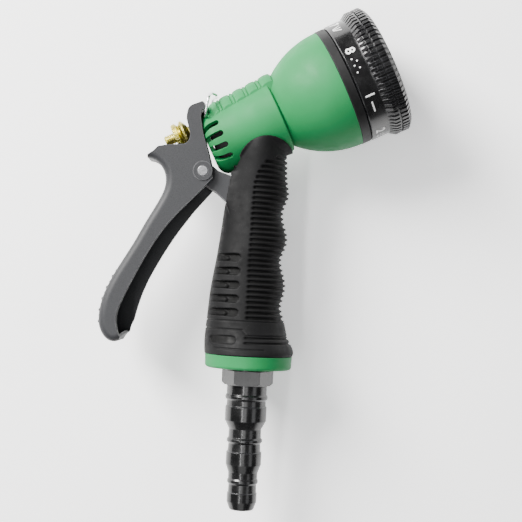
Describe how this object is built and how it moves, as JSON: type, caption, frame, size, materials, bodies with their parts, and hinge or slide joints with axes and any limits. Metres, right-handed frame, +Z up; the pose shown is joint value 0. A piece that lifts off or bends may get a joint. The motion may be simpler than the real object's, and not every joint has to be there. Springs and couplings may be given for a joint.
{
  "type": "hose spray nozzle",
  "caption": "Pistol-grip garden hose nozzle with rear squeeze trigger, hold-open bail, brass flow nut, turning spray-pattern dial and stepped hose barb.",
  "frame": {"origin": "centre of the hose barb's open end, on the handle's axis", "axes": "+Y up the handle from the barb towards the head, +X to the side the spray head leans to, +Z up, square to the nozzle's plane of symmetry: the nozzle lies on its side"},
  "size_m": [0.1494, 0.2516, 0.065],
  "materials": {
    "green_plastic": "semi-matt moulded",
    "grey_plastic": "matt, finely grained",
    "black_gloss": "glossy",
    "black_matt": "matt",
    "grip_rubber": "matt soft rubber",
    "seal_rubber": "smooth",
    "brass": "machined",
    "steel": "bright",
    "pin_metal": "satin"
  },
  "bodies": {
    "body": {"inner_body": "grey_plastic", "grip_sleeve": "grip_rubber", "base_collar": "green_plastic", "hose_barb": "black_gloss", "inlet_washer": "seal_rubber", "inlet_screen": "steel", "rear_housing": "green_plastic", "front_housing": "green_plastic", "spring_seat": "steel", "gland_nut": "brass", "stem_seal": "seal_rubber", "return_spring": "steel", "trigger_pin": "pin_metal", "head_collar": "black_gloss", "spray_core": "black_matt", "core_o_ring": "seal_rubber", "port_seal": "seal_rubber", "core_screws": "steel", "detent_spring": "steel", "centre_screw": "steel", "screw_washer": "steel"},
    "trigger": {"trigger": "grey_plastic"},
    "stem": {"valve_stem": "brass", "valve_plug": "seal_rubber", "plug_backing": "brass"},
    "flow_nut": {"adjusting_nut": "brass"},
    "clip": {"hold_open_clip": "steel"},
    "dial": {"spray_dial": "black_gloss", "dial_face": "black_matt", "dial_cap": "black_gloss"},
    "click": {"detent_ball": "steel"}
  },
  "joints": [
    {"name": "trigger_squeeze", "type": "hinge", "parent": "body", "child": "trigger", "pos_m": [-0.02645, 0.16646, 0], "axis": [0, 0, 1], "range_deg": [0, 17], "stiffness_Nm_per_rad": 0.6, "springref_deg": -20.05},
    {"name": "stem_slide", "type": "slide", "parent": "body", "child": "stem", "axis": [-0.8902, -0.4555, 0], "range_m": [0, 0.0071], "deforming": ["return_spring"]},
    {"name": "flow_nut_turn", "type": "hinge", "parent": "stem", "child": "flow_nut", "pos_m": [-0.03825, 0.18514, 0], "axis": [0.8902, 0.4555, 0], "continuous": true},
    {"name": "dial_turn", "type": "hinge", "parent": "body", "child": "dial", "pos_m": [0.05142, 0.21844, 0], "axis": [0.8902, 0.4555, 0], "continuous": true},
    {"name": "clip_swing", "type": "hinge", "parent": "body", "child": "clip", "pos_m": [-0.02657, 0.19325, 0], "axis": [0, 0, 1], "range_deg": [0, 70]},
    {"name": "click_slide", "type": "slide", "parent": "body", "child": "click", "axis": [0.8902, 0.4555, 0], "range_m": [0, 0.0011], "stiffness_N_per_m": 200, "springref_m": 0.002, "deforming": ["detent_spring"]}
  ],
  "couplings": [
    {"joint": "stem_slide", "follows": "trigger_squeeze", "m_per_rad": 0.0231}
  ]
}
